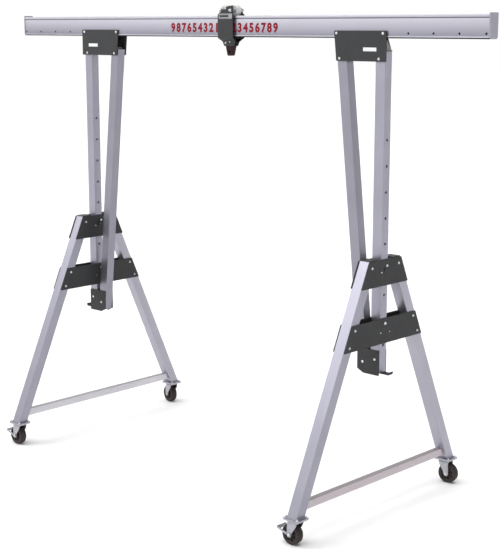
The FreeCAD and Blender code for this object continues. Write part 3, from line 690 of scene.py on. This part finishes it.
def beam_scale():
    """A plain scale of numbers, printed on the front of the beam, with a tick under each."""
    bm = bmesh.new()
    for step in range(-9, 10):
        text = bpy.data.curves.new("numeral", "FONT")
        text.body = str(abs(step))
        text.size = 74 * MM
        text.align_x = "CENTER"
        text.offset = 3.4 * MM
        text.extrude = 0.15 * MM
        text.resolution_u = 4
        numeral = bpy.data.objects.new("numeral", text)
        bpy.context.collection.objects.link(numeral)
        mesh = bpy.data.meshes.new_from_object(numeral.evaluated_get(bpy.context.evaluated_depsgraph_get()))
        stand = Matrix.Rotation(math.radians(90), 4, "X")
        x = 38 + step * 50
        mesh.transform(Matrix.Scale(1 / MM, 4) @ stand)
        mesh.transform(Matrix.Translation(Vector((x, -BEAM_WEB_MM - 0.15, BEAM_TOP_MM - 97))))
        bm.from_mesh(mesh)
        bpy.data.objects.remove(numeral)
        foot = BEAM_TOP_MM - 104
        tick = [(x - 2, foot), (x + 2, foot), (x + 2, foot + 4), (x - 2, foot + 4)]
        prism(bm, tick, -BEAM_WEB_MM - 0.3, -BEAM_WEB_MM)
    made("beam_scale_marks", bm, RED, "beam")


def head_labels():
    """A blank foil strip on the front plate of each head."""
    for side, k in SIDES.items():
        low, high = span(f"{side}_head_plates")
        inner = min(abs(low.x), abs(high.x))
        left, right = sorted((k * (inner + 215), k * (inner + 310)))
        bottom, top = low.z + 57, low.z + 78
        bm = bmesh.new()
        prism(bm, [(left, bottom), (right, bottom), (right, top), (left, top)], low.y - 0.4, low.y)
        made(f"{side}_head_blank_strip", bm, STRIP, f"{side}_upright")


# ----------------------------------------------------------------- casters


def caster_frame(place):
    """Swivel axis, axle centre, axle direction and trailing direction of a caster, in millimetres."""
    pivot = Vector(JOINTS[f"{place}_swivel"]["pos_m"]) / MM
    axle = Vector(JOINTS[f"{place}_wheel_spin"]["pos_m"]) / MM
    along = Vector(JOINTS[f"{place}_wheel_spin"]["axis"]).normalized()
    trail = Vector((axle.x - pivot.x, axle.y - pivot.y, 0)).normalized()
    return pivot, axle, along, trail


def rib_tree():
    """Upright ribs set round a hub, drawn about Z and then laid on the wheel's axle."""
    tree, given = node_group("moulded_core_ribs", {
        "Rib Count": "Int", "Middle Radius": "Float", "Rib Size": "Vector",
        "Laid": "Rotation", "Axle": "Vector", "Material": "Material",
    })
    ring = add(tree, "GeometryNodeMeshCircle", {
        "Vertices": given["Rib Count"], "Radius": given["Middle Radius"],
    }).outputs[0]
    rib = add(tree, "GeometryNodeMeshCube", {"Size": given["Rib Size"]}).outputs["Mesh"]
    out = add(tree, "GeometryNodeInputPosition").outputs[0]
    way = add(tree, "FunctionNodeAlignRotationToVector", {"Vector": out}, axis="X", pivot_axis="Z").outputs[0]
    set_round = add(tree, "GeometryNodeInstanceOnPoints", {
        "Points": ring, "Instance": rib, "Rotation": way,
    }).outputs[0]
    laid = add(tree, "GeometryNodeTransform", {
        "Geometry": set_round, "Rotation": given["Laid"], "Translation": given["Axle"],
    }).outputs[0]
    end_group(tree, laid, given["Material"])
    return tree


def wheels():
    """A rubber tyre on a ribbed core, with its bearing covers, for each caster."""
    ribs = rib_tree()
    for place in CASTERS:
        _, axle, along, _ = caster_frame(place)
        body = f"{place}_wheel"
        tread = [
            (45.0, 19.0), (46.5, 22.0), (50.0, 23.4), (56.0, 23.6), (58.6, 22.4), (60.6, 20.0),
            (61.6, 16.0), (62.2, 10.6), (61.0, 9.8), (61.0, 8.6), (62.3, 7.8), (62.5, 0.0),
        ]
        bm = bmesh.new()
        turned(bm, tread + [(r, -h) for r, h in reversed(tread[:-1])], axle, along, 72)
        made(f"{place}_tyre", bm, TYRE, body, replaces=(body,))
        bm = bmesh.new()
        core = [
            (6.2, 26.0), (13.0, 26.0), (16.5, 24.5), (17.5, 10.0), (20.0, 7.5), (36.0, 6.5),
            (40.0, 9.0), (41.5, 20.0), (43.0, 21.2), (45.0, 20.8),
        ]
        turned(bm, core + [(r, -h) for r, h in reversed(core)], axle, along, 56)
        made(f"{place}_core", bm, CORE, body)
        bm = bmesh.new()
        for way in (-1, 1):
            turned(bm, [
                (6.2, 26.0), (11.5, 26.0), (12.5, 26.4), (12.5, 27.2), (11.0, 27.5), (6.2, 27.5),
            ], axle, along * way, 28)
        made(f"{place}_bearing_covers", bm, ZINC, body)
        seeds = bpy.data.meshes.new(f"{place}_rib_seeds")
        grown(f"{place}_core_ribs", seeds, ribs, {
            "Rib Count": 8, "Middle Radius": 29.0 * MM, "Rib Size": (24 * MM, 3.2 * MM, 36 * MM),
            "Laid": Vector((0, 0, 1)).rotation_difference(along).to_euler(), "Axle": axle * MM,
            "Material": CORE,
        }, body)


def fork_rows(inside, thick, top):
    """Half of a pressed fork from the axle's eye to the crown: distance out, height, and its two edges."""
    outer = inside + thick
    eye = 62.5
    rows = [
        (outer, eye + 16 * math.sin(a), 22 - 16 * math.cos(a), 22 + 16 * math.cos(a))
        for a in [math.radians(d) for d in (-86, -70, -50, -25, 0)]
    ]
    rows += [(outer, 84, -2, 38.5), (outer, 104, -18, 38), (outer, 120, -27, 36.5)]
    bend = 12.0
    for a in (15, 40, 65, 90):
        across, up = math.cos(math.radians(a)), math.sin(math.radians(a))
        rows.append((outer - bend + bend * across, top - bend + bend * up, -31 - 3 * up, 36 - up))
    rows.append((0, top, -35.5, 35.5))
    return rows


def forks():
    """Pressed steel forks with rounded shoulders, a raceway ring and the king pin's nut."""
    for place in CASTERS:
        pivot, axle, along, trail = caster_frame(place)
        top = span(f"{place}_fork")[1].z - 0.1
        half = fork_rows(FORK_HALF - FORK_THICK, FORK_THICK, top)
        whole = half + [(-o, z, a, b) for o, z, a, b in reversed(half[:-1])]
        rows = []
        for out, z, a, b in whole:
            row = []
            for i in range(7):
                x = a + (b - a) * i / 6
                at = pivot + trail * x + along * out
                row.append((at.x, at.y, z))
            rows.append(row)
        bm = bmesh.new()
        swept(bm, rows)
        fork = made(
            f"{place}_pressed_fork", bm, ZINC, f"{place}_caster",
            replaces=(f"{place}_fork",), smooth=50,
        )
        wall = fork.modifiers.new("wall", "SOLIDIFY")
        wall.thickness = FORK_THICK * MM
        wall.offset = -1
        edge = fork.modifiers.new("pressed_edge", "BEVEL")
        edge.width = 0.8 * MM
        edge.segments = 2
        edge.limit_method = "ANGLE"
        edge.angle_limit = math.radians(50)
        bm = bmesh.new()
        base = (pivot.x, pivot.y, 0)
        ring = [(14, top - 9), (24, top - 9), (27, top - 6), (27, top - 4.2), (14, top - 4.2)]
        turned(bm, ring, base, (0, 0, 1), 40)
        nut = [(0.01, top - 14), (7, top - 14), (9, top - 12), (9, top - 8.9), (0.01, top - 8.9)]
        turned(bm, nut, base, (0, 0, 1), 6)
        made(f"{place}_king_pin", bm, ZINC, f"{place}_caster")
        bm = bmesh.new()
        rod = [(0.01, -FORK_HALF), (5.9, -FORK_HALF), (5.9, FORK_HALF), (0.01, FORK_HALF)]
        turned(bm, rod, axle, along, 24)
        made(f"{place}_axle", bm, BRIGHT_ZINC, f"{place}_caster")
        ends = []
        for way in (-1, 1):
            at = axle + along * way * (FORK_HALF + 0.2)
            ends.append((tuple(at), tuple(along * way), 1.0))
        fasteners(f"{place}_axle_nuts", ends, AXLE_NUT, f"{place}_caster", 60)


def raceways():
    """The fixed ball race under each caster's plate, with its rolled rim."""
    for side in SIDES:
        bm = bmesh.new()
        top = span(f"{side}_caster_plates")[1].z
        for place in ("front", "back"):
            pivot = caster_frame(f"{side}_{place}")[0]
            turned(bm, [
                (31.9, top - 6.1), (34.5, top - 6.1), (36.5, top - 7.5), (36.5, top - 9.5),
                (34.0, top - 11.2), (31.9, top - 11.2),
            ], (pivot.x, pivot.y, 0), (0, 0, 1), 48)
        made(f"{side}_raceway_rims", bm, ZINC, f"{side}_a_frame")


# ------------------------------------------------------------------- welds


def weld_tree():
    """A rippled bead along closed paths."""
    tree, given = node_group("rippled_weld_bead", {
        "Bead Radius": "Float", "Ripple Pitch": "Float", "Material": "Material",
    })
    path = add(tree, "GeometryNodeMeshToCurve", {"Mesh": given["Geometry"]}).outputs[0]
    dots = add(
        tree, "GeometryNodeCurveToPoints", {"Curve": path, "Length": given["Ripple Pitch"]}, mode="LENGTH",
    )
    ripple = add(tree, "GeometryNodeMeshUVSphere", {
        "Segments": 8, "Rings": 5, "Radius": given["Bead Radius"],
    }).outputs["Mesh"]
    bead = add(tree, "GeometryNodeInstanceOnPoints", {
        "Points": dots.outputs["Points"], "Instance": ripple, "Rotation": dots.outputs["Rotation"],
        "Scale": (1.0, 1.0, 0.55),
    }).outputs[0]
    end_group(tree, bead, given["Material"])
    return tree


def loop_mesh(name, loops):
    """Closed paths of points in millimetres, as edges."""
    mesh = bpy.data.meshes.new(name)
    points, edges = [], []
    for loop in loops:
        first = len(points)
        points += [[c * MM for c in p] for p in loop]
        edges += [(first + i, first + (i + 1) % len(loop)) for i in range(len(loop))]
    mesh.from_pydata(points, edges, [])
    return mesh


def welds():
    """Beads round each tie bar's ends and round each leg's foot."""
    tree = weld_tree()
    for side in SIDES:
        loops = []
        low, high = span(f"{side}_tie_bar")
        lean = LEG_LEAN * (high.z - low.z)
        for k in (-1, 1):
            y_low, y_high = k * high.y, k * (high.y - lean)
            loops.append([
                (low.x, y_low, low.z), (high.x, y_low, low.z),
                (high.x, y_high, high.z), (low.x, y_high, high.z),
            ])
        low, high = span(f"{side}_leg_caps")
        centre = span(f"{side}_caster_plates")[1].y - 50.0
        half = LEG_DEPTH * math.hypot(1, LEG_LEAN) / 2
        z = span(f"{side}_back_leg")[0].z + FOOT_PLATE
        for k in (-1, 1):
            loops.append([
                (low.x, k * (centre - half), z), (high.x, k * (centre - half), z),
                (high.x, k * (centre + half), z), (low.x, k * (centre + half), z),
            ])
        grown(f"{side}_weld_beads", loop_mesh(f"{side}_weld_paths", loops), tree, {
            "Bead Radius": 2.6 * MM, "Ripple Pitch": 3.2 * MM, "Material": WELD,
        }, f"{side}_a_frame")


def post_seals():
    """A thin black seal round the top of each post, under its pad."""
    for side in SIDES:
        low, high = span(f"{side}_post")
        bm = bmesh.new()
        out = 0.8
        prism(bm, [
            (low.x - out, low.y - out), (high.x + out, low.y - out),
            (high.x + out, high.y + out), (low.x - out, high.y + out),
        ], high.z - 5.0, high.z + 0.6, "z")
        made(f"{side}_post_seal", bm, BLACK, f"{side}_upright", bevel=0.4)


finish_frame_nodes()
all_fasteners()
axle_ears()
cheek_label()
buffers()
rollers()
beam_scale()
head_labels()
wheels()
forks()
raceways()
welds()
post_seals()


# ------------------------------------------------------------------ studio


def studio_floor():
    """A plain pale floor."""
    mesh = bpy.data.meshes.new("studio_floor")
    half = 60.0
    corners = [(-half, -half, 0), (half, -half, 0), (half, half, 0), (-half, half, 0)]
    mesh.from_pydata(corners, [], [(0, 1, 2, 3)])
    floor = bpy.data.objects.new("studio_floor", mesh)
    bpy.context.collection.objects.link(floor)
    material, tree, _ = new_material("plain_pale_floor")
    surface(tree, {"Base Color": linear("F4F4F4"), "Roughness": 0.9, "Specular IOR Level": 0.1})
    mesh.materials.append(material)


def soft_light(name, place, target, size, power):
    """A soft rectangular light, aimed at the target."""
    light = bpy.data.lights.new(name, "AREA")
    light.shape = "RECTANGLE"
    light.size, light.size_y = size
    light.energy = power
    lamp = bpy.data.objects.new(name, light)
    lamp.location = place
    lamp.rotation_euler = (Vector(target) - Vector(place)).to_track_quat("-Z", "Y").to_euler()
    bpy.context.collection.objects.link(lamp)


def studio_sky():
    """White at the horizon, dimmer above it, so that upright faces keep their shading."""
    world = bpy.data.worlds.new("studio_sky")
    world.use_nodes = True
    tree = world.node_tree
    tree.nodes.clear()
    way = add(tree, "ShaderNodeTexCoord").outputs["Generated"]
    height = add(tree, "ShaderNodeSeparateXYZ", {"Vector": way}).outputs["Z"]
    strength = add(tree, "ShaderNodeMapRange", {
        "Value": height, "From Min": 0.24, "From Max": 0.44, "To Min": 1.0, "To Max": SKY_ABOVE,
    }).outputs["Result"]
    background = add(tree, "ShaderNodeBackground", {"Color": linear("FFFFFF"), "Strength": strength})
    add(tree, "ShaderNodeOutputWorld", {"Surface": background.outputs[0]})
    bpy.context.scene.world = world


def overhead_light():
    """A very soft light from above, which whitens the floor and lights upright faces little."""
    light = bpy.data.lights.new("overhead_light", "SUN")
    light.angle = math.radians(70)
    light.energy = 3.3
    lamp = bpy.data.objects.new("overhead_light", light)
    lamp.rotation_euler = (math.radians(8), math.radians(-6), 0)
    bpy.context.collection.objects.link(lamp)


def studio():
    """A white studio: floor, sky, overhead light and two softboxes."""
    studio_floor()
    studio_sky()
    overhead_light()
    middle = (0, 0, 2.2)
    soft_light("front_left_softbox", (-5.5, -5.0, 5.0), middle, (4.5, 2.5), 35)
    soft_light("high_softbox", (-8.5, -9.0, 8.2), (0, -0.5, 1.0), (6.0, 3.0), 420)
    bpy.context.scene.view_settings.view_transform = "Standard"


def camera():
    """A view from the right front, at about head height, with a long lens."""
    lens = bpy.data.cameras.new("camera")
    lens.lens = 84.43
    lens.sensor_width = 36.0
    view = bpy.data.objects.new("camera", lens)
    view.location = (5.8213, -5.8039, 2.8633)
    view.rotation_euler = (math.radians(79.056), 0.0, math.radians(43.863))
    bpy.context.collection.objects.link(view)
    bpy.context.scene.camera = view


studio()
camera()
